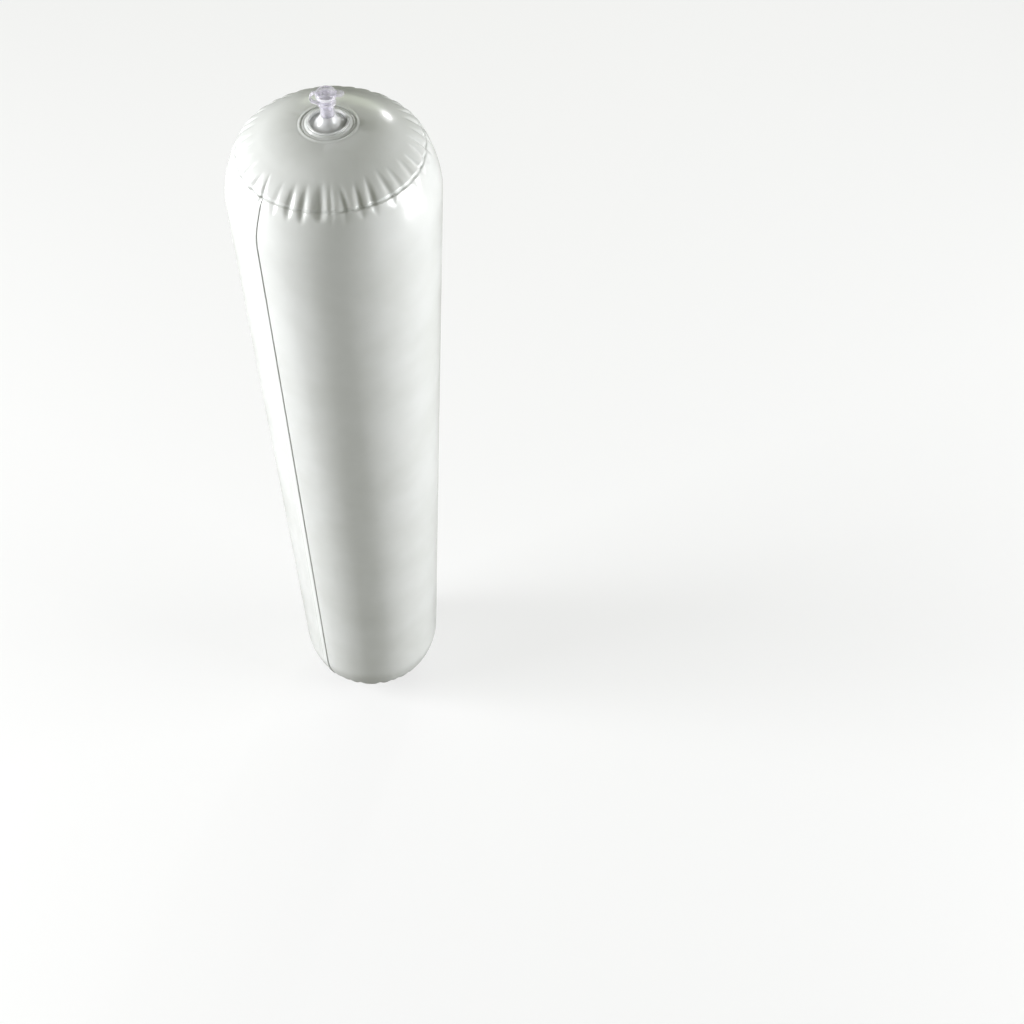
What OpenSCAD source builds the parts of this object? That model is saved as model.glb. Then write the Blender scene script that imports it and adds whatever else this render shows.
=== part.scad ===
// Inflatable boot shaper: an air column of welded film with a push-in valve in its crown.
// It stands along +Z with its origin at the lowest point of the bottom disc, in millimetres.
// Azimuth runs about +Z from -Y, the side that faces the viewer, towards +X.

/* [Air column] */
// Height from the lowest point to the top of the valve's plug
overall_h = 500; // [440:5:560]
// Widest diameter of the inflated tube, under its top shoulder
top_d = 120; // [112:1:128]
// Diameter of the inflated tube over its bottom shoulder
bottom_d = 90; // [84:1:104]
// Diameter of the weld seam between the tube and the top disc
top_seam_d = 103; // [98:1:108]
// Diameter of the weld seam between the tube and the bottom disc
bottom_seam_d = 75; // [70:1:80]
// Height over which the tube draws in to the top seam
top_shoulder = 31; // [25:1:36]
// Height over which the tube draws in to the bottom seam
bottom_shoulder = 22; // [18:1:28]
// How far the top disc bulges over its seam
top_bulge = 18; // [14:0.5:20]
// How far the bottom disc bulges under its seam
bottom_bulge = 12; // [9:0.5:15]
// Fullness of both discs: 2 is a parabola, and more is flatter inside and steeper at the seam
dome_power = 3; // [2:0.1:3.2]

/* [Film] */
// Thickness of the film
film = 0.35; // [0.3:0.05:0.5]
// Number of puckers round each seam
pucker_count = 36; // [30:2:40]
// Height of a pucker's crest over the smooth film
pucker_h = 1.1; // [0.6:0.1:1.3]
// How far a pucker runs from its seam over either film
pucker_reach = 13; // [12:1:15]
// Width of the welded margin that points into the air space
margin_w = 4.5; // [3:0.5:6]
// Half the width of the fused bead that shows between the two films
bead_w = 0.45; // [0.4:0.05:0.6]
// Depth of the groove along the fused bead
groove = 0.3; // [0.1:0.1:0.4]
// Azimuth of the tube's side seam, to the left of the viewer's side
side_seam_az = 315; // [200:1:350]

/* [Valve] */
// Height of the closed valve over the film at the crown
valve_h = 21.5; // [21:0.5:23]
// Diameter of the flange that is welded under the film
flange_d = 33; // [29:1:34]
// Thickness of the flange
flange_t = 0.9; // [0.7:0.1:1.2]
// Outside diameter of the raised rim round the valve
rim_d = 23; // [22.5:0.5:24]
// Width of the raised rim
rim_w = 1.6; // [1.4:0.1:2]
// Height of the raised rim over the film
rim_h = 1.8; // [1.4:0.1:2.2]
// Outside diameter of the neck
neck_d = 7.8; // [7.4:0.1:8]
// Bore of the neck
bore_d = 5.6; // [5:0.1:5.8]
// Height of the neck's lower end over the film
neck_low = 1.5; // [1:0.5:2.5]
// Height of the neck's mouth over the film
mouth_h = 18.4; // [18:0.1:18.6]
// Diameter of the lip round the mouth
lip_d = 10.2; // [9.6:0.2:10.8]
// Thickness of the lip
lip_t = 1.4; // [1:0.1:1.8]
// Height over which the flexible membrane climbs from the rim to the neck
membrane_rise = 6.2; // [5:0.2:6.6]
// Thickness of the flexible membrane
membrane_t = 0.7; // [0.5:0.1:0.9]
// Height of the strap's collar over the film
collar_low = 13.4; // [12.8:0.2:14]
// Length of the strap's collar along the neck
collar_t = 1.5; // [1.2:0.1:1.8]
// Outside diameter of the strap's collar
collar_d = 10; // [9.6:0.2:10.4]
// Width of the strap that ties the plug to the collar
strap_w = 3.2; // [2.6:0.2:4]
// Thickness of the strap
strap_t = 0.9; // [0.7:0.1:1.1]
// How far the strap's loop reaches from the valve's axis
strap_reach = 8.6; // [8:0.2:9.2]
// Diameter of the plug's head
head_d = 11.2; // [10.6:0.2:11.6]
// Gap all round between the plug's stem and the bore
plug_gap = 0.05; // [0.02:0.01:0.09]
// Length of the plug's stem below the mouth
plug_stem_l = 6; // [5:0.5:7]
// How far the plug's pull tab reaches from the valve's axis
tab_reach = 9.6; // [9:0.2:10.4]
// Width of the plug's pull tab
tab_w = 5.4; // [4.6:0.2:6]
// Diameter of the non-return flap under the neck
flap_d = 7; // [6.4:0.1:7.2]
// Thickness of the non-return flap
flap_t = 0.5; // [0.4:0.1:0.6]

/* [Hidden] */
$fn = 96;

// Colours of the film, of its fused margins and of the clear valve
film_tone = [0.93, 0.94, 0.93];
seam_tone = [0.80, 0.82, 0.80];
valve_tone = [0.72, 0.70, 0.80];

// Level film beyond the flange, and the gap between the film's hole and the rim
flat_edge = 1;
hole_gap = 0.05;

// How far the membrane starts under the crown, how late its climb steepens, and its half
// thickness at the rim and at the neck as shares of membrane_t
membrane_dip = 0.1;
membrane_power = 2.3;
membrane_half = [0.5, 1.1];

// Rounding of the plug's head and tab, taper of its stem, and the levels of its top
head_edge = 0.7;
stem_taper = [0.5, 1];
head_step = 0.3;
dish_step = 0.1;
tab_t = 1.4;
tab_drop = 0.6;
strap_drop = 0.9;

// Steps of a rounded edge, of the membrane, and the span over which a slope is measured
arc_steps = 6;
membrane_steps = 12;
slope_span = 0.02;

// Levels and radii that follow from the driving dimensions
crown_z = overall_h - valve_h;
flat_r = flange_d / 2 + flat_edge;
top_seam_r = top_seam_d / 2;
bottom_seam_r = bottom_seam_d / 2;
top_seam_z = crown_z - top_bulge * (1 - pow(flat_r / top_seam_r, dome_power));
bottom_seam_z = bottom_bulge;
high_z = top_seam_z - top_shoulder;
low_z = bottom_seam_z + bottom_shoulder;
rim_in_r = rim_d / 2 - rim_w;
hole_r = rim_d / 2 + hole_gap;

// Columns of points round the film, one on each crest and one in each valley
columns = 2 * pucker_count;
side_column = round(columns * side_seam_az / 360);

// Rows of points on the films, as depths from a seam
tube_depths = [5.5, 14];
disc_depths = [5, 12.5, 23];

function unit(v) = v / norm(v);

// Radius of the tube's straight taper, and of the tube with both shoulders drawn in by a parabola
function taper_r(z) = (bottom_d + (top_d - bottom_d) * (z - low_z) / (high_z - low_z)) / 2;
function drawn_in(depth, reach, drop) = drop * pow(max(0, 1 - depth / reach), 2);
function tube_r(z) = taper_r(z)
    - drawn_in(top_seam_z - z, top_shoulder, taper_r(top_seam_z) - top_seam_r)
    - drawn_in(z - bottom_seam_z, bottom_shoulder, taper_r(bottom_seam_z) - bottom_seam_r);
function tube_slope(z) = (tube_r(z + slope_span / 2) - tube_r(z - slope_span / 2)) / slope_span;

// Height of a pucker at a distance from its seam
function pucker(depth) = pucker_h * pow(max(0, 1 - pow(depth / pucker_reach, 2)), 2);

// A section point is [radius, height, outward normal's radius and height, pucker height].
function tube_point(z) =
    let (n = unit([1, -tube_slope(z)]), depth = min(top_seam_z - z, z - bottom_seam_z))
    [tube_r(z), z, n[0], n[1], pucker(depth)];
function disc_point(r, seam_r, seam_z, bulge, level_r) =
    let (
        z = seam_z + bulge * (1 - pow(max(r, level_r) / seam_r, dome_power)),
        slope = r > level_r ? -dome_power * bulge / seam_r * pow(r / seam_r, dome_power - 1) : 0,
        n = unit([-slope, 1]) * sign(bulge)
    )
    [r, z, n[0], n[1], pucker(seam_r - r)];
function top_point(r) = disc_point(r, top_seam_r, top_seam_z, top_bulge, flat_r);
function bottom_point(r) = disc_point(r, bottom_seam_r, bottom_seam_z, -bottom_bulge, 0);
function lifted(s, d) = [s[0] + d * s[2], s[1] + d * s[3], s[2], s[3], s[4]];
function lining(section) = [for (k = [len(section) - 1:-1:0]) lifted(section[k], -film)];
function turned(list) = [for (k = [len(list) - 1:-1:0]) list[k]];

// Where a section point stands in one column: out on a crest, in at a valley
function place(s, j) =
    let (az = 360 * j / columns, swing = (j % 2 == 0 ? 1 : -1) * s[4], r = s[0] + swing * s[2])
    [r * sin(az), -r * cos(az), s[1] + swing * s[3]];

// Two triangles on a quad, cut from the lower corner of its first column on every piece alike
function quad(p, a, b, c, d) = p[a][2] < p[b][2] ? [[a, b, c], [a, c, d]] : [[a, b, d], [b, c, d]];

// A closed section carried round the axis
module ring_skin(section) {
    m = len(section);
    points = [for (j = [0:columns - 1], s = section) place(s, j)];
    faces = [
        for (j = [0:columns - 1], i = [0:m - 1])
            let (a = j * m, b = ((j + 1) % columns) * m, k = (i + 1) % m)
            each quad(points, a + i, a + k, b + k, b + i)
    ];
    polyhedron(points, faces);
}

// An open section carried round the axis and closed by a pole at each of its ends
module capped_skin(section, first_z, last_z) {
    m = len(section);
    rows = [for (j = [0:columns - 1], s = section) place(s, j)];
    points = concat(rows, [[0, 0, first_z], [0, 0, last_z]]);
    faces = [
        for (j = [0:columns - 1])
            let (a = j * m, b = ((j + 1) % columns) * m)
            each concat(
                [[columns * m, a, b], [columns * m + 1, b + m - 1, a + m - 1]],
                [for (i = [0:m - 2]) each quad(points, a + i, a + i + 1, b + i + 1, b + i)]
            )
    ];
    polyhedron(points, faces);
}

// Outer rows of the three films, from the top or the axis outwards
tube_rows = [
    for (z = concat(
        [top_seam_z - bead_w],
        [for (d = tube_depths) top_seam_z - d],
        [high_z, low_z],
        [for (d = turned(tube_depths)) bottom_seam_z + d],
        [bottom_seam_z + bead_w]
    )) tube_point(z)
];
top_rows = [
    for (r = concat(
        [hole_r, flat_r],
        [for (d = turned(disc_depths)) top_seam_r - d],
        [top_seam_r - bead_w]
    )) top_point(r)
];
bottom_rows = [
    for (r = concat([for (d = turned(disc_depths)) bottom_seam_r - d], [bottom_seam_r - bead_w]))
        bottom_point(r)
];

// Section of a weld: the grooved bead between two films and the margin that points inwards
function weld_section(tube_end, disc_end, seam_r, seam_z) =
    let (
        out = unit([tube_end[2] + disc_end[2], tube_end[3] + disc_end[3]]),
        inner = [lifted(tube_end, -film), lifted(disc_end, -film)],
        bead = [seam_r - groove * out[0], seam_z - groove * out[1], out[0], out[1], pucker_h],
        edge = [for (s = inner) [s[0] - margin_w * out[0], s[1] - margin_w * out[1], out[0], out[1], pucker_h]]
    )
    [inner[0], edge[0], edge[1], inner[1], disc_end, bead, tube_end];

module body_film() {
    color(film_tone) ring_skin(concat(tube_rows, lining(tube_rows)));
}

// The tube's lapped edge: one column of the film doubled from seam to seam
module side_seam() {
    m = len(tube_rows);
    corners = [[0, 0], [1, 0], [1, film], [0, film]];
    points = [for (s = tube_rows, c = corners) place(lifted(s, c[1]), side_column + c[0])];
    sides = [
        for (i = [0:m - 2], k = [0:3])
            let (a = 4 * i + k, b = 4 * i + (k + 1) % 4)
            each (k == 0 || k == 3
                ? [[a, b, a + 4], [b, b + 4, a + 4]]
                : [[a, b, b + 4], [a, b + 4, a + 4]])
    ];
    ends = [[0, 2, 1], [0, 3, 2], [4 * m - 4, 4 * m - 3, 4 * m - 2], [4 * m - 4, 4 * m - 2, 4 * m - 1]];
    color(seam_tone) polyhedron(points, concat(sides, ends));
}

module top_disc() {
    color(film_tone) ring_skin(concat(top_rows, lining(top_rows)));
}

module top_seam() {
    color(seam_tone)
        ring_skin(weld_section(tube_rows[0], top_rows[len(top_rows) - 1], top_seam_r, top_seam_z));
}

module bottom_disc() {
    color(film_tone) capped_skin(turned(concat(bottom_rows, lining(bottom_rows))), film, 0);
}

module bottom_seam() {
    color(seam_tone) ring_skin(turned(weld_section(
        tube_rows[len(tube_rows) - 1], bottom_rows[len(bottom_rows) - 1],
        bottom_seam_r, bottom_seam_z
    )));
}

// Points of an arc from angle a to angle b about a centre
function arc(x, y, r, a, b) = [
    for (k = [0:arc_steps]) let (t = a + (b - a) * k / arc_steps) [x + r * cos(t), y + r * sin(t)]
];

// Flange under the film, with the raised rim that stands through the film's hole
module valve_flange() {
    rim_r = rim_w / 2;
    color(valve_tone) translate([0, 0, crown_z]) rotate_extrude() polygon(concat(
        [
            [rim_in_r, -film - flange_t], [flange_d / 2, -film - flange_t],
            [flange_d / 2, -film], [rim_d / 2, -film]
        ],
        arc(rim_in_r + rim_r, rim_h - rim_r, rim_r, 0, 180)
    ));
}

// Height of the membrane's middle between the rim, at 0, and the neck, at 1
function membrane_z(t) = membrane_rise * pow(t, membrane_power) - membrane_dip;
function membrane_r(t) = rim_in_r + (neck_d / 2 - rim_in_r) * t;

// Flexible wall between the rim and the neck, which turns inside out when the neck is pushed in
module valve_membrane() {
    parts = [for (k = [0:membrane_steps]) k / membrane_steps];
    upper = [for (t = parts) [membrane_r(t), membrane_z(t) + membrane_t * membrane_half[0]]];
    lower = [
        for (t = turned(parts))
            let (half = membrane_half[0] + (membrane_half[1] - membrane_half[0]) * t)
            [membrane_r(t), membrane_z(t) - membrane_t * half]
    ];
    color(valve_tone) translate([0, 0, crown_z]) rotate_extrude() polygon(concat(upper, lower));
}

// Tube that is blown into, with a rounded lip at its mouth
module valve_neck() {
    lip_r = lip_t / 2;
    color(valve_tone) translate([0, 0, crown_z]) rotate_extrude() polygon(concat(
        [[bore_d / 2, neck_low], [neck_d / 2, neck_low], [neck_d / 2, mouth_h - lip_t]],
        arc(lip_d / 2 - lip_r, mouth_h - lip_r, lip_r, -90, 90),
        [[bore_d / 2, mouth_h]]
    ));
}

// Ring on the neck that holds the strap
module strap_collar() {
    color(valve_tone) translate([0, 0, crown_z + collar_low]) difference() {
        cylinder(d = collar_d, h = collar_t);
        translate([0, 0, -1]) cylinder(d = neck_d, h = collar_t + 2);
    }
}

// Strap that loops from the collar, out and up, to the edge of the plug's head
module plug_strap() {
    top_z = valve_h - strap_drop;
    low_mid = collar_low + collar_t / 2;
    bend = (top_z - low_mid) / 2;
    bend_x = -strap_reach + bend;
    color(valve_tone) translate([0, 0, crown_z]) difference() {
        rotate([90, 0, 0]) linear_extrude(height = strap_w, center = true) difference() {
            union() {
                translate([bend_x, low_mid + bend]) circle(r = bend + strap_t / 2);
                translate([bend_x, low_mid - strap_t / 2])
                    square([-bend_x, 2 * bend + strap_t]);
            }
            translate([bend_x, low_mid + bend]) circle(r = bend - strap_t / 2);
            translate([bend_x, low_mid + strap_t / 2]) square([-bend_x + 1, 2 * bend - strap_t]);
        }
        translate([0, 0, low_mid - strap_t]) cylinder(d = collar_d, h = bend);
        translate([0, 0, low_mid + bend]) cylinder(d = head_d, h = bend + strap_t);
    }
}

// Plug: a stem that stops the bore, a head on the mouth and a pull tab to the right
module valve_plug() {
    stem_r = bore_d / 2 - plug_gap;
    stem_low = mouth_h - plug_stem_l;
    color(valve_tone) translate([0, 0, crown_z]) {
        rotate_extrude() polygon(concat(
            [
                [0, stem_low], [stem_r - stem_taper[0], stem_low],
                [stem_r, stem_low + stem_taper[1]], [stem_r, mouth_h], [head_d / 2, mouth_h]
            ],
            arc(head_d / 2 - head_edge, valve_h - head_step - head_edge, head_edge, 0, 90),
            [[head_d / 4, valve_h - dish_step], [0, valve_h]]
        ));
        translate([0, 0, valve_h - tab_drop - tab_t]) linear_extrude(height = tab_t) difference() {
            union() {
                translate([tab_reach - tab_w / 2, 0]) circle(d = tab_w);
                translate([0, -tab_w / 2]) square([tab_reach - tab_w / 2, tab_w]);
            }
            circle(r = head_d / 2 - head_edge);
        }
    }
}

// Thin disc that falls away from the neck as air comes in and closes on it from below
module check_flap() {
    color(valve_tone) translate([0, 0, crown_z + neck_low - flap_t]) cylinder(d = flap_d, h = flap_t);
}

body_film();
side_seam();
top_disc();
top_seam();
bottom_disc();
bottom_seam();
valve_flange();
valve_membrane();
valve_neck();
strap_collar();
plug_strap();
valve_plug();
check_flap();
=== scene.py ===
"""Inflatable boot shaper: a column of white film, puckered at both seams, with a clear push-in valve."""

import math

import bpy
import numpy as np
from mathutils import Matrix, Vector


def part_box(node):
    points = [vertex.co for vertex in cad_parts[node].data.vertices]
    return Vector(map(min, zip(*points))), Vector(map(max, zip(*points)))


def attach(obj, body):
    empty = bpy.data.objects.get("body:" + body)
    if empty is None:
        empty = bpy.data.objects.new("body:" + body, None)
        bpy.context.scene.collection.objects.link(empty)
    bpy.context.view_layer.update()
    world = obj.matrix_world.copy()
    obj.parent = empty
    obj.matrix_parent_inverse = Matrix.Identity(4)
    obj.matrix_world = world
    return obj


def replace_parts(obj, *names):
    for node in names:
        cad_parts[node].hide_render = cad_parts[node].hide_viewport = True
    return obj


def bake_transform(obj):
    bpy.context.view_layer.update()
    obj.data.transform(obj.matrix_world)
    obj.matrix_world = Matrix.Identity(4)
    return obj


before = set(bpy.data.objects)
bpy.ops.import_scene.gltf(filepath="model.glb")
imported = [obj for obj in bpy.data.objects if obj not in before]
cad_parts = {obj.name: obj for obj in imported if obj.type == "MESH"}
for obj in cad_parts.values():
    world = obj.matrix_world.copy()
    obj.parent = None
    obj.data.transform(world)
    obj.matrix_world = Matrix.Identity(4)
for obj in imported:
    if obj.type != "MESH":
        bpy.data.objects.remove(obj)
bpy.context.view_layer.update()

MM = 0.001
TURN = 2 * math.pi

# Film column, in metres, with the sizes of the construction
FILM = 0.35 * MM
CROWN_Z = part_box("top_disc")[1][2]
TOP_R, BOTTOM_R = 60 * MM, 45 * MM
TOP_SEAM_R, BOTTOM_SEAM_R = 51.5 * MM, 37.5 * MM
TOP_SHOULDER, BOTTOM_SHOULDER = 31 * MM, 22 * MM
TOP_BULGE, BOTTOM_BULGE = 18 * MM, 12 * MM
DOME_POWER = 3.0
FLAT_R = 17.5 * MM
TOP_SEAM_Z = CROWN_Z - TOP_BULGE * (1 - (FLAT_R / TOP_SEAM_R) ** DOME_POWER)
BOTTOM_SEAM_Z = BOTTOM_BULGE
HIGH_Z, LOW_Z = TOP_SEAM_Z - TOP_SHOULDER, BOTTOM_SEAM_Z + BOTTOM_SHOULDER

# Fused seams: half width and groove of the bead that shows, dip of either film beside it and the dip's half
# width, and width of the margin that turns inwards
BEAD, GROOVE = 0.45 * MM, 0.18 * MM
EDGE_DIP, EDGE_DIP_W = 0.12 * MM, 0.5 * MM
MARGIN = 4.5 * MM

# Puckers: how many round each seam, height of the band that they cut, and how far the band reaches
PUCKERS = 36
CREST = 0.75 * MM
PUCKER_RUN = 13 * MM

# Creases of the top seam that the photo shows: azimuth in degrees, half width and depth in mm, slant, and the
# share of the depth that the tube's film takes
SEEN_CREASES = (
    (-40.5, 1.0, 0.8, -0.1, 1), (-31.5, 1.9, 0.4, 0, 1), (-22, 2.2, 1.1, 0, 0.95), (-13.5, 2.3, 1.15, 0, 0.95),
    (-3, 3.2, 1.6, 0, 0.9), (3.5, 1.7, 0.6, 0, 0.6), (12, 2.6, 1.35, -0.03, 0.45), (21, 2.4, 1.35, 0.02, 0.45),
    (29, 2.2, 1.15, 0.04, 0.45), (41.5, 2.3, 0.9, 0, 0.6), (50.5, 2.1, 0.6, 0, 0.6),
)

# The other creases: how far they stray from even spacing, half width and depth in mm, slant, and the tube's share
STRAY, WIDTHS, DEPTHS, SLANT, TUBE_SHARE = 0.16, (1.6, 2.4), (0.7, 1.3), 0.05, 0.75

# How far creases run over the tube, and over the disc where the photo shows them and elsewhere, in mm
TUBE_RUNS, SEEN_DISC_RUNS, DISC_RUNS = (5, 8), (11, 14), (8, 12)

# Slack film: waves round the tube, their drift along it in radians a metre, and height in mm
SLACK_WAVES = ((4, 6, 0.10), (7, 9, 0.08), (12, 13, 0.045), (21, 8, 0.02))
SLACK_FADE = 25 * MM

# Tube's side lap: azimuth and width, its section as places across it from -1 to 1 with heights in thicknesses
# of the film, and its lines of painted shade as place, half width and strength
LAP_AZ, LAP_W = math.radians(317.5), 5.0 * MM
LAP_SECTION = ((-1, 0), (-0.5, 0.8), (0.6, 0.9), (0.7, 0.5), (0.78, 0.5), (0.86, 1.3), (0.93, 1.1), (1, 0))
LAP_SHADE_LINES = ((0.97, 0.09, 1), (0.74, 0.06, 0.35))
LAP_SUNK = 0.15 * MM

# Film over the valve's flange, in mm: radius, half width and height of its pressed rings, then the number of
# radial pulls round it, their depth and half width, and the radius and half width of the belt that they lie in
PRESSED_RINGS = ((11.6, 0.75, 1.1), (13.4, 0.6, 0.5), (15.4, 0.9, 0.45))
PULLS, PULL_DEPTH, PULL_W, PULL_BELT = 15, 0.16, 2.2, (18.5, 4.5)

# Valve, in mm, with heights over the film at the crown
VALVE_H = 21.5
RIM_R, RIM_W, RIM_H, HOLE_GAP = 11.5, 1.6, 1.8, 0.05
FLANGE_R, FLANGE_T = 16.5, 0.9
WALL_RISE, WALL_POWER, WALL_DIP, WALL_T = 6.2, 2.3, 0.1, 0.7
NECK_R, BORE_R, NECK_LOW, MOUTH = 3.9, 2.8, 1.5, 18.4
LIP_R, LIP_T, LIP_SLOPE = 5.1, 1.4, 0.1
COLLAR_R, COLLAR_LOW, COLLAR_T, COLLAR_GAP = 5.0, 13.4, 1.5, 0.02
STEM_R, STEM_TIP_R, STEM_LOW = 2.62, 1.9, 12.4
SEAL_R, SEALS, SEAL_HALF = 2.74, (13.9, 15.9), 0.5
HEAD_R, HEAD_GAP = 5.6, 0.02
STRAP_REACH, STRAP_DROP, STRAP_HALF_T = 8.6, 0.9, 0.45
STRAP_WIDE, STRAP_NARROW, STRAP_FROM, STRAP_TO = 1.6, 1.35, 4.8, 5.4
TAB_REACH, TAB_HALF_W, TAB_ROOT, TAB_DROP, TAB_HALF_T = 9.6, 2.7, 4.6, 1.3, 0.6
TAB_RIBS, RIB_W, RIB_H, TAB_END = (6.6, 7.4, 8.2), 0.22, 0.12, 0.5
FLAP_R, FLAP_T, FLAP_STEP = 3.5, 0.5, 0.1

# Spans of height over the film for the wall and the strap's loop, in mm
WALL_BLEND, STRAP_BLEND = (0, 6.1), (14.6, 20.1)

# Columns of points round the films and round the valve
COLUMNS = PUCKERS * 16
LATHE = 128
ANGLES = TURN * np.arange(COLUMNS) / COLUMNS


def mesh_piece(name, points, quads, tris=(), weld=None):
    """A mesh from an array of points and arrays of faces, turned to face outwards by its signed volume.
    Weld marks its pressed places from 0 to 1, and how much painted shade they get."""
    points = np.asarray(points, float).reshape(-1, 3)
    quads = np.asarray(quads, int).reshape(-1, 4)
    tris = np.asarray(tris, int).reshape(-1, 3)
    corners = np.concatenate([quads[:, [0, 1, 2]], quads[:, [0, 2, 3]], tris])
    a, b, c = (points[corners[:, k]] for k in range(3))
    if np.einsum("ij,ij->i", a, np.cross(b, c)).sum() < 0:
        quads, tris = quads[:, ::-1], tris[:, ::-1]
    mesh = bpy.data.meshes.new(name)
    mesh.vertices.add(len(points))
    mesh.vertices.foreach_set("co", points.astype(np.float32).ravel())
    loops = np.concatenate([quads.ravel(), tris.ravel()])
    sizes = np.concatenate([np.full(len(quads), 4), np.full(len(tris), 3)])
    mesh.loops.add(len(loops))
    mesh.loops.foreach_set("vertex_index", loops.astype(np.int32))
    mesh.polygons.add(len(sizes))
    mesh.polygons.foreach_set("loop_start", np.concatenate([[0], np.cumsum(sizes)[:-1]]).astype(np.int32))
    mesh.polygons.foreach_set("use_smooth", np.ones(len(sizes), bool))
    if weld is not None:
        mark = mesh.attributes.new("weld", "FLOAT", "POINT")
        mark.data.foreach_set("value", np.asarray(weld, np.float32).ravel())
    mesh.update(calc_edges=True)
    mesh.validate()
    piece = bpy.data.objects.new(name, mesh)
    bpy.context.scene.collection.objects.link(piece)
    return piece


def grid_quads(m, n, close_rows, close_columns):
    """Quads between neighbours of an m by n grid of points, counted row by row."""
    i = np.arange(m if close_rows else m - 1)[:, None]
    j = np.arange(n if close_columns else n - 1)[None, :]
    i2, j2 = (i + 1) % m, (j + 1) % n
    return np.stack([i * n + j, i * n + j2, i2 * n + j2, i2 * n + j], -1).reshape(-1, 4)


def fan(first, n, hub, flip):
    """Triangles from a row of n points to one hub point."""
    j = np.arange(n)
    a, b = first + j, first + (j + 1) % n
    return np.stack([b, a, np.full(n, hub)] if flip else [a, b, np.full(n, hub)], -1)


def ring_piece(name, grid, weld=None):
    """A closed section carried round the axis: grid is section points by columns by xyz."""
    m, n, _ = grid.shape
    return mesh_piece(name, grid, grid_quads(m, n, True, True), weld=weld)


def capped_piece(name, grid, first, last, weld=None):
    """Rows of closed loops, with the two end rows drawn together at the points first and last, unmarked."""
    m, n, _ = grid.shape
    points = np.concatenate([grid.reshape(-1, 3), [first, last]])
    tris = np.concatenate([fan(0, n, m * n, True), fan((m - 1) * n, n, m * n + 1, False)])
    marks = None if weld is None else np.concatenate([weld, [0, 0]])
    return mesh_piece(name, points, grid_quads(m, n, False, True), tris, marks)


def turned(radius, height, angles):
    """Points at a radius and height, arrays that broadcast, carried round the axis from -Y towards +X."""
    radius, height, angles = np.broadcast_arrays(radius, height, angles)
    return np.stack([radius * np.sin(angles), -radius * np.cos(angles), height], -1)


def bell(x, at, half_w):
    """A smooth swell along x: 1 at its place, 1/e at its half width."""
    return np.exp(-(((x - at) / half_w) ** 2))


def nearest_turn(angles):
    """Angles brought between half a turn back and half a turn on."""
    return (angles + math.pi) % TURN - math.pi


def steps(*stretches):
    """Stations along a line: each stretch is (start, end, spacing), and the last end is kept."""
    parts = [np.linspace(a, b, max(1, round(abs(b - a) / gap)), endpoint=False) for a, b, gap in stretches]
    return np.concatenate([*parts, [stretches[-1][1]]])


def taper(z):
    """Radius of the straight tapered tube."""
    return BOTTOM_R + (TOP_R - BOTTOM_R) * (z - LOW_Z) / (HIGH_Z - LOW_Z)


def tube_r(z):
    """The taper with both shoulders drawn in to their seams by parabolas."""
    top = np.clip(1 - (TOP_SEAM_Z - z) / TOP_SHOULDER, 0, None) ** 2
    bottom = np.clip(1 - (z - BOTTOM_SEAM_Z) / BOTTOM_SHOULDER, 0, None) ** 2
    return (
        taper(z)
        - top * (taper(TOP_SEAM_Z) - TOP_SEAM_R)
        - bottom * (taper(BOTTOM_SEAM_Z) - BOTTOM_SEAM_R)
    )


def tube_profile(z):
    """Radius, height and outward normal of the smooth tube at heights z."""
    span = 0.01 * MM
    slope = (tube_r(z + span) - tube_r(z - span)) / (2 * span)
    length = np.hypot(1, slope)
    return tube_r(z), z, 1 / length, -slope / length


def disc_profile(r, seam_r, seam_z, bulge, level_r):
    """The same for a disc: a dome over its seam, seam height plus bulge * (1 - (r / seam_r) ** DOME_POWER),
    level inside level_r."""
    z = seam_z + bulge * (1 - (np.maximum(r, level_r) / seam_r) ** DOME_POWER)
    slope = np.where(r > level_r, -DOME_POWER * bulge / seam_r * (r / seam_r) ** (DOME_POWER - 1), 0)
    length = np.hypot(1, slope) * np.sign(bulge)
    return r, z, -slope / length, 1 / length


def displaced(profile, lift, angles, below=0.0):
    """A profile carried round and moved along its normals by lift, less the distance below."""
    r, z, nr, nz = (np.asarray(v)[:, None] for v in profile)
    move = lift - below
    return turned(r + move * nr, z + move * nz, angles[None, :])


def seam_creases(seed, seen=()):
    """Angle, half width, depths, runs and slant of each crease round a seam: the seen ones, and others spaced
    unevenly over the rest of the circle."""
    rng = np.random.default_rng(seed)
    rest = PUCKERS - len(seen)
    seen = np.reshape(np.asarray(seen, float), (-1, 5))
    first, last = (seen[-1, 0], seen[0, 0] + 360) if len(seen) else (0, 360)
    others = first + (last - first) * (np.arange(rest) + 1 + rng.uniform(-STRAY, STRAY, rest)) / (rest + 1)
    width = np.concatenate([seen[:, 1], rng.uniform(*WIDTHS, rest)]) * MM
    depth = np.concatenate([seen[:, 2], rng.uniform(*DEPTHS, rest)]) * MM
    return {
        "angle": np.radians(np.concatenate([seen[:, 0], others])),
        "width": width,
        "depth": {"disc": depth, "tube": depth * np.concatenate([seen[:, 4], np.full(rest, TUBE_SHARE)])},
        "tube": rng.uniform(*TUBE_RUNS, PUCKERS) * MM,
        "disc": np.concatenate([rng.uniform(*SEEN_DISC_RUNS, len(seen)), rng.uniform(*DISC_RUNS, rest)]) * MM,
        "slant": np.concatenate([seen[:, 3], rng.uniform(-SLANT, SLANT, rest)]),
    }


TOP_CREASES, BOTTOM_CREASES = seam_creases(5, SEEN_CREASES), seam_creases(8)


def fade(s, run):
    """1 at the seam, 0 past the run, level at both ends."""
    return np.clip(1 - (s / run) ** 2, 0, None) ** 2


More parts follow.
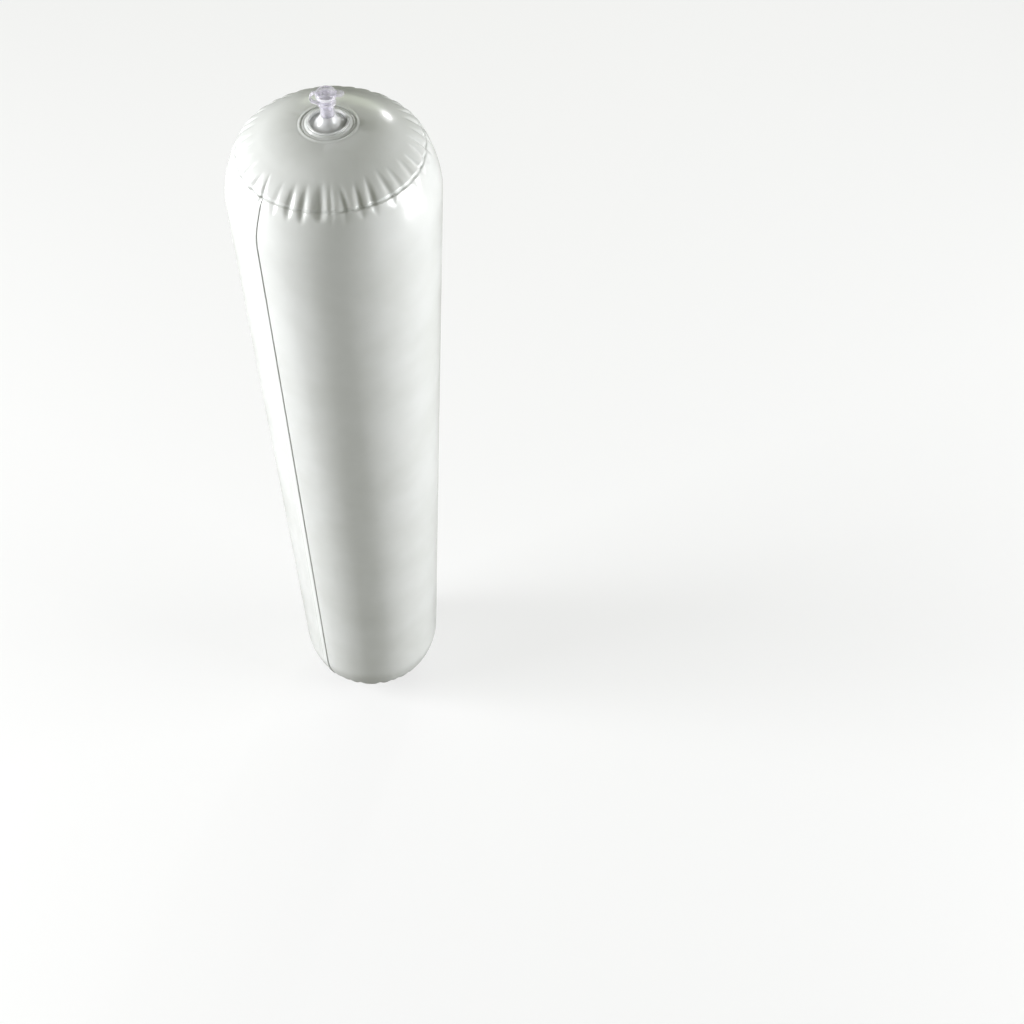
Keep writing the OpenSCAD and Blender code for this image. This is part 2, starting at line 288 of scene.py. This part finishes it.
def puckered(creases, film, s, radius, angles):
    """Height over the smooth film at distances s from its seam: a raised band, cut by rounded valleys that
    narrow to half their width and fade along their runs, with a dip at the seam itself."""
    s, radius = s[:, None, None], np.asarray(radius)[:, None, None]
    away = nearest_turn(angles[None, :, None] - creases["angle"] - creases["slant"] * s / PUCKER_RUN)
    x = away * radius / (creases["width"] * (1 - 0.5 * np.minimum(s / creases[film], 1)))
    valley = creases["depth"][film] * bell(x, 0, 1)
    cut = (valley * fade(s, creases[film])).sum(-1)
    lift = CREST * fade(s[:, :, 0], PUCKER_RUN)
    return lift - cut - EDGE_DIP * bell(s[:, :, 0], 0, EDGE_DIP_W)


def slack(z, angles):
    """Long shallow unevenness of film that air holds: a few waves round the tube that drift along it."""
    z, angles = z[:, None], angles[None, :]
    waves = (
        high * np.sin(n * angles + z * drift + 1.7 * n) * np.cos(z * drift / 3 + n)
        for n, drift, high in SLACK_WAVES
    )
    return MM * sum(waves)


def tube_lift(z, angles):
    """Height of the tube's film over its smooth profile: the puckers of both seams, and between them slackness
    that dies away towards either seam."""
    top = puckered(TOP_CREASES, "tube", TOP_SEAM_Z - z, tube_r(z), angles)
    bottom = puckered(BOTTOM_CREASES, "tube", z - BOTTOM_SEAM_Z, tube_r(z), angles)
    ends = fade(TOP_SEAM_Z - z, SLACK_FADE) + fade(z - BOTTOM_SEAM_Z, SLACK_FADE)
    return top + bottom + slack(z, angles) * (1 - ends)[:, None]


def film_tube():
    """The wrapped tube as a thin closed wall: its outer face, and an inner one a film's thickness below.
    Stations lie closest by the seams."""
    near = 15 * MM
    by_top, by_bottom, shoulder, straight = 0.6 * MM, 0.7 * MM, 1.2 * MM, 9 * MM
    inner_shoulder, inner_straight = 4 * MM, 80 * MM
    outer = steps(
        (TOP_SEAM_Z - BEAD, TOP_SEAM_Z - near, by_top),
        (TOP_SEAM_Z - near, HIGH_Z, shoulder),
        (HIGH_Z, LOW_Z, straight),
        (LOW_Z, BOTTOM_SEAM_Z + near, shoulder),
        (BOTTOM_SEAM_Z + near, BOTTOM_SEAM_Z + BEAD, by_bottom),
    )
    inner = steps(
        (BOTTOM_SEAM_Z + BEAD, LOW_Z, inner_shoulder),
        (LOW_Z, HIGH_Z, inner_straight),
        (HIGH_Z, TOP_SEAM_Z - BEAD, inner_shoulder),
    )
    grid = [
        displaced(tube_profile(z), tube_lift(z, ANGLES), ANGLES, below)
        for z, below in ((outer, 0.0), (inner, FILM))
    ]
    return ring_piece("film_tube", np.concatenate(grid))


def pressed_rings(r):
    """Height of the rings that the valve's weld presses into the film: a groove between lips, as bells."""
    return MM * sum(high * bell(r, at * MM, w * MM) for at, w, high in PRESSED_RINGS)


def valve_pull(r, angles):
    """Short radial pulls in the film where it leaves the flange: bells of uneven depth round the circle, within
    a belt."""
    rng = np.random.default_rng(21)
    at = rng.uniform(0, TURN, PULLS)
    away = nearest_turn(angles[None, :, None] - at) * r[:, None, None]
    belt = bell(r, PULL_BELT[0] * MM, PULL_BELT[1] * MM)[:, None]
    return -PULL_DEPTH * MM * (bell(away, 0, PULL_W * MM) * rng.uniform(0.3, 1, PULLS)).sum(-1) * belt


def dome_film():
    """The top disc from the valve's rim to the seam, with its inner face a film's thickness below."""

    def sheet(r, below):
        """One face of the disc: its profile lifted by the creases, pressed rings and pulls."""
        profile = disc_profile(r, TOP_SEAM_R, TOP_SEAM_Z, TOP_BULGE, FLAT_R)
        creased = puckered(TOP_CREASES, "disc", TOP_SEAM_R - r, r, ANGLES)
        return displaced(profile, creased + pressed_rings(r)[:, None] + valve_pull(r, ANGLES), ANGLES, below)

    hole, plain, creased_from, edge = (RIM_R + HOLE_GAP) * MM, 20 * MM, 34 * MM, TOP_SEAM_R - BEAD
    inner_bend = 30 * MM
    outer = steps((hole, plain, 0.3 * MM), (plain, creased_from, 1.4 * MM), (creased_from, edge, 0.6 * MM))
    inner = steps((edge, inner_bend, 3 * MM), (inner_bend, hole, 6 * MM))
    return ring_piece("dome_film", np.concatenate([sheet(outer, 0.0), sheet(inner, FILM)]))


def base_film():
    """The bottom disc, closed at the axis, with its inner face a film's thickness above."""

    def sheet(r, below):
        """One face of the disc: its profile lifted by the creases."""
        profile = disc_profile(r, BOTTOM_SEAM_R, BOTTOM_SEAM_Z, -BOTTOM_BULGE, 0)
        return displaced(profile, puckered(BOTTOM_CREASES, "disc", BOTTOM_SEAM_R - r, r, ANGLES), ANGLES, below)

    middle, creased_from, inner_bend, edge = 2 * MM, 20 * MM, 22 * MM, BOTTOM_SEAM_R - BEAD
    outer = steps((middle, creased_from, 2 * MM), (creased_from, edge, 0.7 * MM))
    inner = steps((edge, inner_bend, 3 * MM), (inner_bend, middle, 6 * MM))
    grid = np.concatenate([sheet(outer, 0.0), sheet(inner, FILM)])
    return capped_piece("base_film", grid, [0, 0, 0], [0, 0, FILM])


def seam_ring(name, creases, seam_r, seam_z, bulge, end_z):
    """Fused bead between two films, with the margin that turns inwards. The bead runs straight from one film's
    edge to the other's, and a squared sine sinks it into a groove."""
    r_end = np.array([seam_r - BEAD])
    tube, disc = tube_profile(np.array([end_z])), disc_profile(r_end, seam_r, seam_z, bulge, 0)
    out = np.array([tube[2][0] + disc[2][0], tube[3][0] + disc[3][0]])
    out /= np.linalg.norm(out)
    s_tube = np.array([abs(seam_z - end_z)])
    lifts = [
        puckered(creases, "tube", s_tube, tube[0], ANGLES),
        puckered(creases, "disc", np.array([BEAD]), disc[0], ANGLES),
    ]
    ends = [displaced(tube, lifts[0], ANGLES)[0], displaced(disc, lifts[1], ANGLES)[0]]
    linings = [displaced(tube, lifts[0], ANGLES, FILM)[0], displaced(disc, lifts[1], ANGLES, FILM)[0]]
    radial = turned(out[0], out[1], ANGLES)
    t = np.linspace(0.1, 0.9, 9)[:, None, None]
    sunk = np.sin(math.pi * t) ** 2
    bead = ends[0] * (1 - t) + ends[1] * t - radial * (GROOVE * sunk)
    margin = [lining - radial * MARGIN for lining in linings]
    grid = np.stack([ends[0], *bead, ends[1], linings[1], margin[1], margin[0], linings[0]])
    # Painted shade along the groove: the weld mark rises to 0.8 at its bottom
    shade = np.concatenate([[0], 0.8 * sunk[:, 0, 0], np.zeros(5)])
    return ring_piece(name, grid, np.repeat(shade, COLUMNS))


def side_lap():
    """The tube's overlapped edge: a low strip from seam to seam. Across it the height rises over one edge that
    melts away and drops at the other, crisp one, beside a pressed line."""
    shoulder, straight = 0.8 * MM, 6 * MM
    top_end, bottom_end = TOP_SEAM_Z - BEAD, BOTTOM_SEAM_Z + BEAD
    z = steps((top_end, HIGH_Z, shoulder), (HIGH_Z, LOW_Z, straight), (LOW_Z, bottom_end, shoulder))
    across = np.concatenate([np.linspace(-1, -0.7, 4), np.linspace(-0.5, 0.5, 5), np.linspace(0.6, 1, 17)])
    height = FILM * np.interp(across, *np.transpose(LAP_SECTION))
    # Painted shade along the crisp edge and, fainter, in the pressed line
    shade = sum(strength * bell(across, at, w) for at, w, strength in LAP_SHADE_LINES)
    angles = LAP_AZ + across[None, :] * LAP_W / 2 / tube_r(z)[:, None]
    lift = np.stack([tube_lift(z[k : k + 1], angles[k])[0] for k in range(len(z))])
    r, up, nr, nz = (np.asarray(v)[:, None] for v in tube_profile(z))

    def layer(move):
        """The strip's points moved along the tube's normals."""
        return turned(r + move * nr, up + move * nz, angles)

    top, under = layer(lift + height), layer(lift - LAP_SUNK)
    loop = np.concatenate([top, under[:, ::-1]], axis=1)
    weld = np.tile(np.concatenate([shade, shade[::-1]]), len(z))
    return capped_piece("side_lap", loop, loop[0].mean(0), loop[-1].mean(0), weld)


def rounded(corners, arc_points=5):
    """A line of (radius, height, rounding) corners with each corner cut by a parabola of that size, in mm."""
    corners = np.asarray(corners, float)
    line = []
    for k, (x, y, cut) in enumerate(corners):
        here = np.array([x, y])
        if cut == 0 or k in (0, len(corners) - 1):
            line.append(here[None])
            continue
        sides = []
        for other in (corners[k - 1, :2], corners[k + 1, :2]):
            away = other - here
            sides.append(here + away * min(0.5, cut / np.linalg.norm(away)))
        t = np.linspace(0, 1, arc_points)[:, None]
        line.append((1 - t) ** 2 * sides[0] + 2 * t * (1 - t) * here + t**2 * sides[1])
    return np.concatenate(line) * MM


def closed_line(corners):
    """Rounded corners of a ring's section: the first corner is repeated to round it too."""
    return rounded([corners[-1], *corners, corners[0]])[1:-1]


def lathe(name, line):
    """A (radius, height) line turned round the valve's axis: a ring, or a solid where it starts and ends there."""
    angles = TURN * np.arange(LATHE) / LATHE
    if line[0, 0] == 0 and line[-1, 0] == 0:
        grid = turned(line[1:-1, 0, None], line[1:-1, 1, None] + CROWN_Z, angles[None])
        first, last = ([0, 0, line[k, 1] + CROWN_Z] for k in (0, -1))
        return capped_piece(name, grid, first, last)
    return ring_piece(name, turned(line[:, 0, None], line[:, 1, None] + CROWN_Z, angles[None]))


def valve_rim():
    """Flange under the film, with the rounded rim that stands up from its inner edge."""
    inside, top = RIM_R - RIM_W, -FILM / MM
    low = top - FLANGE_T
    return lathe("valve_rim", closed_line([
        (inside, low, 0.2), (FLANGE_R, low, 0.2), (FLANGE_R, top, 0.1), (RIM_R, top, 0.1),
        (RIM_R, RIM_H, 0.75), (inside, RIM_H, 0.75),
    ]))


def valve_wall():
    """Flexible wall: its middle line climbs with a power of the way from rim to neck, like a trumpet's bell, and
    its underside swells towards the neck."""
    t = np.linspace(0, 1, 30)
    inside = RIM_R - RIM_W
    r = inside + (NECK_R - inside) * t
    z = -WALL_DIP + WALL_RISE * t**WALL_POWER
    upper = np.stack([r, z + WALL_T / 2], -1)
    lower = np.stack([r, z - WALL_T * (0.5 + 0.6 * t)], -1)[::-1]
    return lathe("valve_wall", np.concatenate([upper, lower]) * MM)


def neck():
    """Tube that is blown into, with a lip round its mouth."""
    lip_low = MOUTH - LIP_T
    return lathe("neck", closed_line([
        (BORE_R, NECK_LOW, 0.15), (NECK_R, NECK_LOW, 0.3), (NECK_R, lip_low, 0.5),
        (LIP_R, lip_low + LIP_SLOPE, 0.35), (LIP_R, MOUTH, 0.6), (BORE_R, MOUTH, 0.3),
    ]))


def collar():
    """Ring round the neck that the strap hangs from."""
    inside, top = NECK_R + COLLAR_GAP, COLLAR_LOW + COLLAR_T
    return lathe("collar", closed_line([
        (inside, COLLAR_LOW, 0.1), (COLLAR_R, COLLAR_LOW, 0.4), (COLLAR_R, top, 0.4), (inside, top, 0.1),
    ]))


def plug():
    """Stem with two soft sealing rings, and a head with a shallow dish in its top. The dish's corners are radius,
    drop under the top and rounding."""
    line = [(0, STEM_LOW, 0), (STEM_TIP_R, STEM_LOW, 0.3)]
    for at in SEALS:
        line += [(STEM_R, at - SEAL_HALF, 0.3), (SEAL_R, at, 0.2), (STEM_R, at + SEAL_HALF, 0.3)]
    line += [(STEM_R, MOUTH, 0.1), (HEAD_R, MOUTH + HEAD_GAP, 0.4)]
    dish = ((HEAD_R, 0.3, 0.9), (4.2, 0.05, 0.5), (3.3, 0.2, 0.5), (2.9, 0.8, 0.5), (0, 0.9, 0))
    return lathe("plug", rounded(line + [(r, VALVE_H - drop, cut) for r, drop, cut in dish]))


def flap():
    """Thin non-return disc under the neck, slightly thicker along its rim."""
    low = NECK_LOW - FLAP_T
    return lathe("flap", rounded([
        (0, low + FLAP_STEP, 0), (2.6, low + FLAP_STEP, 0.3), (2.9, low, 0.2), (FLAP_R, low, 0.2),
        (FLAP_R, NECK_LOW, 0.2), (0, NECK_LOW, 0),
    ]))


def swept(name, path, side, half_w, half_t):
    """A rounded band along a path in the valve's XZ plane: side holds each station's upward normal in mm, and
    powers of the sine and cosine square off the band's section."""
    a = TURN * np.arange(20) / 20
    ring_y = np.sign(np.cos(a)) * np.abs(np.cos(a)) ** 0.35
    ring_n = np.sign(np.sin(a)) * np.abs(np.sin(a)) ** 0.6
    grid = path[:, None, :] + side[:, None, :] * (half_t[:, None] * ring_n)[..., None]
    grid = grid + np.array([0, 1, 0]) * (half_w[:, None] * ring_y)[..., None]
    grid = grid * MM + np.array([0, 0, CROWN_Z])
    return capped_piece(name, grid, grid[0].mean(0), grid[-1].mean(0))


def strap():
    """Loop from the collar out to the left, up round a half circle and back to the plug's head."""
    low, high = COLLAR_LOW + COLLAR_T / 2, VALVE_H - STRAP_DROP
    bend = (high - low) / 2
    bend_x = -STRAP_REACH + bend
    turn = np.linspace(-90, -270, 25) * math.pi / 180
    low_x, high_x = np.linspace(-STRAP_FROM, bend_x, 6)[:-1], np.linspace(bend_x, -STRAP_TO, 4)[1:]
    below, above = len(low_x), len(high_x)
    x = np.concatenate([low_x, bend_x + bend * np.cos(turn), high_x])
    z = np.concatenate([np.full(below, low), low + bend + bend * np.sin(turn), np.full(above, high)])
    nx = np.concatenate([np.zeros(below), -np.cos(turn), np.zeros(above)])
    nz = np.concatenate([np.ones(below), -np.sin(turn), -np.ones(above)])
    path = np.stack([x, 0 * x, z], -1)
    side = np.stack([nx, 0 * x, nz], -1)
    stations = [0, 8, len(x) - 6, len(x) - 1]
    half_w = np.interp(np.arange(len(x)), stations, [STRAP_WIDE, STRAP_NARROW, STRAP_NARROW, STRAP_WIDE])
    return swept("strap", path, side, half_w, np.full(len(x), STRAP_HALF_T))


def pull_tab():
    """Flat tab to the right of the plug's head, round at its end, with three low grip ribs. It thins to about a
    third over its last half millimetre."""
    round_x = TAB_REACH - TAB_HALF_W
    round_end = round_x + TAB_HALF_W * np.sin(np.linspace(0, math.pi / 2, 16)[1:])
    x = np.concatenate([np.linspace(TAB_ROOT, round_x, 12), round_end])
    half_w = TAB_HALF_W * np.sqrt(np.clip(1 - (np.clip(x - round_x, 0, None) / TAB_HALF_W) ** 2, 0.003, 1))
    ribs = sum(bell(x, at, RIB_W) for at in TAB_RIBS)
    end = np.clip((TAB_REACH - x) / TAB_END, 0, 1) ** 0.5
    path = np.stack([x, 0 * x, np.full(len(x), VALVE_H - TAB_DROP)], -1)
    side = np.tile([0.0, 0.0, 1.0], (len(x), 1))
    return swept("pull_tab", path, side, half_w, (TAB_HALF_T + RIB_H * ribs) * (0.35 + 0.65 * end))


# Skins: scales of the mottle and of the ripple a metre, strength of the ripple, the two tones of the mottle, and
# the least and most roughness
FILM_SKIN = {"mottle_scale": 26, "ripple_scale": 240, "ripple": 0.12,
             "tones": ((0.80, 0.81, 0.80), (0.86, 0.87, 0.87)), "rough": (0.16, 0.26)}
CLEAR_SKIN = {"mottle_scale": 120, "ripple_scale": 500, "ripple": 0.06,
              "tones": ((0.88, 0.86, 0.93), (0.93, 0.92, 0.96)), "rough": (0.05, 0.12)}
MILKY_SKIN = {"mottle_scale": 120, "ripple_scale": 500, "ripple": 0.06,
              "tones": ((0.78, 0.79, 0.80), (0.86, 0.87, 0.88)), "rough": (0.1, 0.18)}


def new_material(name):
    """A material with its node tree and its Principled shader."""
    material = bpy.data.materials.new(name)
    material.use_nodes = True
    tree = material.node_tree
    return material, tree, tree.nodes["Principled BSDF"]


def vinyl_group():
    """Mottle of the tone and a rippled normal, shared by film, seams and valve."""
    group = bpy.data.node_groups.new("vinyl_skin", "ShaderNodeTree")
    for socket, default in (("Mottle Scale", 30.0), ("Ripple Scale", 400.0), ("Ripple", 0.1)):
        entry = group.interface.new_socket(socket, in_out="INPUT", socket_type="NodeSocketFloat")
        entry.default_value = default
    group.interface.new_socket("Mottle", in_out="OUTPUT", socket_type="NodeSocketFloat")
    group.interface.new_socket("Normal", in_out="OUTPUT", socket_type="NodeSocketVector")
    nodes, links = group.nodes, group.links
    given, put = nodes.new("NodeGroupInput"), nodes.new("NodeGroupOutput")
    place = nodes.new("ShaderNodeTexCoord")
    cloud, peel, bump = (nodes.new(f"ShaderNode{kind}") for kind in ("TexNoise", "TexNoise", "Bump"))
    cloud.inputs["Detail"].default_value = 3
    peel.inputs["Detail"].default_value = 2
    for noise, scale in ((cloud, "Mottle Scale"), (peel, "Ripple Scale")):
        links.new(place.outputs["Object"], noise.inputs["Vector"])
        links.new(given.outputs[scale], noise.inputs["Scale"])
    bump.inputs["Distance"].default_value = 0.2 * MM
    links.new(given.outputs["Ripple"], bump.inputs["Strength"])
    links.new(peel.outputs["Fac"], bump.inputs["Height"])
    links.new(cloud.outputs["Fac"], put.inputs["Mottle"])
    links.new(bump.outputs["Normal"], put.inputs["Normal"])
    return group


def use_skin(tree, shader, group, mottle_scale, ripple_scale, ripple, tones, rough):
    """Feeds a material's colour, roughness and normal from the shared group."""
    skin = tree.nodes.new("ShaderNodeGroup")
    skin.node_tree = group
    for socket, value in (("Mottle Scale", mottle_scale), ("Ripple Scale", ripple_scale), ("Ripple", ripple)):
        skin.inputs[socket].default_value = value
    ramp = tree.nodes.new("ShaderNodeValToRGB")
    for stop, place, tone in zip(ramp.color_ramp.elements, (0.35, 0.65), tones):
        stop.position, stop.color = place, (*tone, 1)
    tree.links.new(skin.outputs["Mottle"], ramp.inputs["Fac"])
    tree.links.new(ramp.outputs["Color"], shader.inputs["Base Color"])
    spread = tree.nodes.new("ShaderNodeMapRange")
    spread.inputs["To Min"].default_value, spread.inputs["To Max"].default_value = rough
    tree.links.new(skin.outputs["Mottle"], spread.inputs["Value"])
    tree.links.new(spread.outputs["Result"], shader.inputs["Roughness"])
    tree.links.new(skin.outputs["Normal"], shader.inputs["Normal"])


def film_finish(group):
    """Glossy white film that lets a little light in."""
    material, tree, shader = new_material("white_vinyl_film")
    use_skin(tree, shader, group, **FILM_SKIN)
    shader.inputs["IOR"].default_value = 1.53
    shader.inputs["Subsurface Weight"].default_value = 0.25
    shader.inputs["Subsurface Radius"].default_value = (1, 1, 1)
    shader.inputs["Subsurface Scale"].default_value = 1.5 * MM
    return material


def seam_finish(group):
    """The film's finish, with painted shade where the weld mark lies, and duller where the tool pressed it."""
    material, tree, shader = new_material("fused_vinyl_seam")
    use_skin(tree, shader, group, **FILM_SKIN)
    shader.inputs["IOR"].default_value = 1.53
    mark = tree.nodes.new("ShaderNodeAttribute")
    mark.attribute_name = "weld"
    # Painted shade: the weld mark multiplies the colour by as little as 0.72
    darker = tree.nodes.new("ShaderNodeMix")
    darker.data_type, darker.blend_type = "RGBA", "MULTIPLY"
    darker.inputs["B"].default_value = (0.72, 0.72, 0.72, 1)
    colour = next(link for link in tree.links if link.to_socket == shader.inputs["Base Color"])
    tree.links.new(mark.outputs["Fac"], darker.inputs["Factor"])
    tree.links.new(colour.from_socket, darker.inputs["A"])
    tree.links.new(darker.outputs["Result"], shader.inputs["Base Color"])
    duller = tree.nodes.new("ShaderNodeMath")
    duller.operation, duller.inputs[1].default_value = "MULTIPLY_ADD", 0.4
    gloss = next(link for link in tree.links if link.to_socket == shader.inputs["Roughness"])
    tree.links.new(mark.outputs["Fac"], duller.inputs[0])
    tree.links.new(gloss.from_socket, duller.inputs[2])
    tree.links.new(duller.outputs["Value"], shader.inputs["Roughness"])
    return material


def let_light_through(tree, shader, share):
    """Lets part of the light pass straight through a clear piece on to what stands in its shade."""
    path, part = tree.nodes.new("ShaderNodeLightPath"), tree.nodes.new("ShaderNodeMath")
    part.operation, part.inputs[1].default_value = "MULTIPLY", share
    clear, mix = tree.nodes.new("ShaderNodeBsdfTransparent"), tree.nodes.new("ShaderNodeMixShader")
    tree.links.new(path.outputs["Is Shadow Ray"], part.inputs[0])
    tree.links.new(part.outputs["Value"], mix.inputs["Fac"])
    tree.links.new(shader.outputs["BSDF"], mix.inputs[1])
    tree.links.new(clear.outputs["BSDF"], mix.inputs[2])
    tree.links.new(mix.outputs["Shader"], tree.nodes["Material Output"].inputs["Surface"])


def valve_finish(group):
    """Clear soft vinyl with a faint violet tint."""
    material, tree, shader = new_material("clear_violet_vinyl")
    use_skin(tree, shader, group, **CLEAR_SKIN)
    shader.inputs["IOR"].default_value = 1.4
    shader.inputs["Transmission Weight"].default_value = 0.75
    let_light_through(tree, shader, 0.3)
    return material


def wall_finish(group):
    """The valve's rim and thin flexible wall, milky where the clear vinyl is stretched over the column's air."""
    material, tree, shader = new_material("milky_vinyl")
    use_skin(tree, shader, group, **MILKY_SKIN)
    shader.inputs["IOR"].default_value = 1.5
    shader.inputs["Transmission Weight"].default_value = 0.1
    shader.inputs["Subsurface Weight"].default_value = 1
    shader.inputs["Subsurface Radius"].default_value = (1, 1, 1)
    shader.inputs["Subsurface Scale"].default_value = 3 * MM
    let_light_through(tree, shader, 0.55)
    return material


def seen_straight(tree):
    """1 where the eye looks straight at a surface or through clear vinyl, 0 in gloss and in shade."""
    path, either = tree.nodes.new("ShaderNodeLightPath"), tree.nodes.new("ShaderNodeMath")
    either.operation = "MAXIMUM"
    tree.links.new(path.outputs["Is Camera Ray"], either.inputs[0])
    tree.links.new(path.outputs["Is Transmission Ray"], either.inputs[1])
    return either.outputs["Value"]


def floor_finish():
    """Seen straight it is a bright sheet, and in the film's gloss and shade it is a grey table."""
    material, tree, shader = new_material("pale_floor")
    shader.inputs["Base Color"].default_value = (0.25, 0.25, 0.25, 1)
    shader.inputs["Roughness"].default_value = 0.6
    shader.inputs["Emission Color"].default_value = (1, 1, 1, 1)
    shader.inputs["Emission Strength"].default_value = 0.66
    grey = tree.nodes.new("ShaderNodeBsdfDiffuse")
    grey.inputs["Color"].default_value = (0.25, 0.25, 0.23, 1)
    mix = tree.nodes.new("ShaderNodeMixShader")
    tree.links.new(seen_straight(tree), mix.inputs["Fac"])
    tree.links.new(grey.outputs["BSDF"], mix.inputs[1])
    tree.links.new(shader.outputs["BSDF"], mix.inputs[2])
    tree.links.new(mix.outputs["Shader"], tree.nodes["Material Output"].inputs["Surface"])
    return material


# Softboxes: place and aim in metres, width and height, brightness and colour
STUDIO = (
    ("left_key", (-1.4, -0.25, 0.58), (0, 0, 0.46), (0.7, 0.5), 25, (0.98, 0.99, 1)),
    ("left_high", (-1.4, 0, 1.0), (0, 0, 0.46), (0.4, 0.4), 20.5, (0.98, 0.99, 1)),
    ("left_top", (-0.7, 0.1, 1.7), (0, 0, 0.46), (0.6, 0.6), 0.45, (1, 1, 1)),
    ("right_key", (1.4, -0.03, 0.38), (0, 0, 0.4), (0.6, 0.7), 14, (0.98, 0.99, 1)),
    ("right_front", (1.5, -0.55, 0.7), (0, 0, 0.44), (0.4, 0.4), 16, (0.98, 0.99, 1)),
    ("back_fill", (0, 1.6, 0.9), (0, 0, 0.46), (0.8, 0.5), 1.9, (0.92, 1.0, 0.8)),
    ("spark", (0.64, 1.82, 1.05), (0.03, 0, 0.47), (0.17, 0.03), 240, (1, 1, 1)),
)
FLOOR_REACH = 12.0


def softbox(name, where, aim, size, glow, colour):
    """A rectangular area light that faces a point. Its power is its brightness times pi times its area."""
    light = bpy.data.lights.new(name, "AREA")
    light.shape = "RECTANGLE"
    light.size, light.size_y = size
    light.energy, light.color = glow * math.pi * size[0] * size[1], colour
    lamp = bpy.data.objects.new(name, light)
    bpy.context.scene.collection.objects.link(lamp)
    lamp.location = where
    lamp.rotation_euler = (Vector(where) - Vector(aim)).to_track_quat("Z", "Y").to_euler()


def studio():
    """Bright walls of light to the left and right, a dim ceiling, and a white floor."""
    for box in STUDIO:
        softbox(*box)
    world = bpy.data.worlds.new("studio")
    bpy.context.scene.world = world
    world.use_nodes = True
    nodes, links = world.node_tree.nodes, world.node_tree.links
    sky = nodes["Background"]
    sky.inputs["Color"].default_value = (0.94, 1.0, 0.66, 1)
    sky.inputs["Strength"].default_value = 0.115
    seen = nodes.new("ShaderNodeBackground")
    seen.inputs["Color"].default_value = (0.96, 0.96, 0.96, 1)
    mix = nodes.new("ShaderNodeMixShader")
    links.new(seen_straight(world.node_tree), mix.inputs["Fac"])
    links.new(sky.outputs["Background"], mix.inputs[1])
    links.new(seen.outputs["Background"], mix.inputs[2])
    links.new(mix.outputs["Shader"], nodes["World Output"].inputs["Surface"])
    corners = FLOOR_REACH * np.array([[-1, -1, 0], [1, -1, 0], [1, 1, 0], [-1, 1, 0]])
    floor = mesh_piece("floor", corners, [[0, 1, 2, 3]])
    floor.data.materials.append(floor_finish())


def photo_camera():
    """The photograph's view: its focal length and where it shows the top seam's centre, in pixels of a frame
    of 1024, and that centre's distance."""
    focal, frame_w, sensor = 2050.0, 1024.0, 36.0
    seam_at, distance = (330.6, 148.5), 1.13
    pitch = math.radians(50.3)
    right = Vector((1, 0, 0))
    back = Vector((0, -math.cos(pitch), math.sin(pitch)))
    turn = Matrix((right, back.cross(right), back)).transposed()
    ray = Vector(((seam_at[0] - frame_w / 2) / focal, (frame_w / 2 - seam_at[1]) / focal, -1)).normalized()
    centre = Vector((0, 0, TOP_SEAM_Z))
    camera = bpy.data.objects.new("camera", bpy.data.cameras.new("camera"))
    bpy.context.scene.collection.objects.link(camera)
    camera.data.sensor_width = sensor
    camera.data.lens = focal * sensor / frame_w
    camera.matrix_world = Matrix.Translation(centre - turn @ ray * distance) @ turn.to_4x4()
    camera.data.clip_start, camera.data.clip_end = 0.05, 50
    bpy.context.scene.camera = camera


def dress():
    """Makes every piece, gives it its finish, hangs the rigid ones from their bodies and hides the parts that they
    replace.
    """
    group = vinyl_group()
    film, seam, clear, milky = (make(group) for make in (film_finish, seam_finish, valve_finish, wall_finish))
    top = (TOP_CREASES, TOP_SEAM_R, TOP_SEAM_Z, TOP_BULGE, TOP_SEAM_Z - BEAD)
    bottom = (BOTTOM_CREASES, BOTTOM_SEAM_R, BOTTOM_SEAM_Z, -BOTTOM_BULGE, BOTTOM_SEAM_Z + BEAD)
    rigid = [
        (film_tube(), "body_film", "bladder", film, "film"),
        (dome_film(), "top_disc", "bladder", film, "film"),
        (base_film(), "bottom_disc", "bladder", film, "film"),
        (seam_ring("top_bead", *top), "top_seam", "bladder", seam, "seam"),
        (seam_ring("bottom_bead", *bottom), "bottom_seam", "bladder", seam, "seam"),
        (side_lap(), "side_seam", "bladder", seam, "seam"),
        (valve_rim(), "valve_flange", "bladder", milky, "valve"),
        (neck(), "valve_neck", "valve_stem", clear, "valve"),
        (collar(), "strap_collar", "valve_stem", clear, "valve"),
        (plug(), "valve_plug", "plug", clear, "valve"),
        (pull_tab(), "valve_plug", "plug", clear, "valve"),
        (flap(), "check_flap", "flap", clear, "valve"),
    ]
    for piece, node, body, finish, slot in rigid:
        piece.data.materials.append(finish)
        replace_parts(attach(piece, body), node)
    stretched = [
        (valve_wall(), "valve_membrane", "bladder", "valve_stem", milky, WALL_BLEND),
        (strap(), "plug_strap", "valve_stem", "plug", clear, STRAP_BLEND),
    ]
    for piece, node, held, moved, finish, span in stretched:
        piece.data.materials.append(finish)
        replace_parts(piece, node)
        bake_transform(piece)


bpy.context.scene.view_settings.view_transform = "Standard"
photo_camera()
studio()
dress()
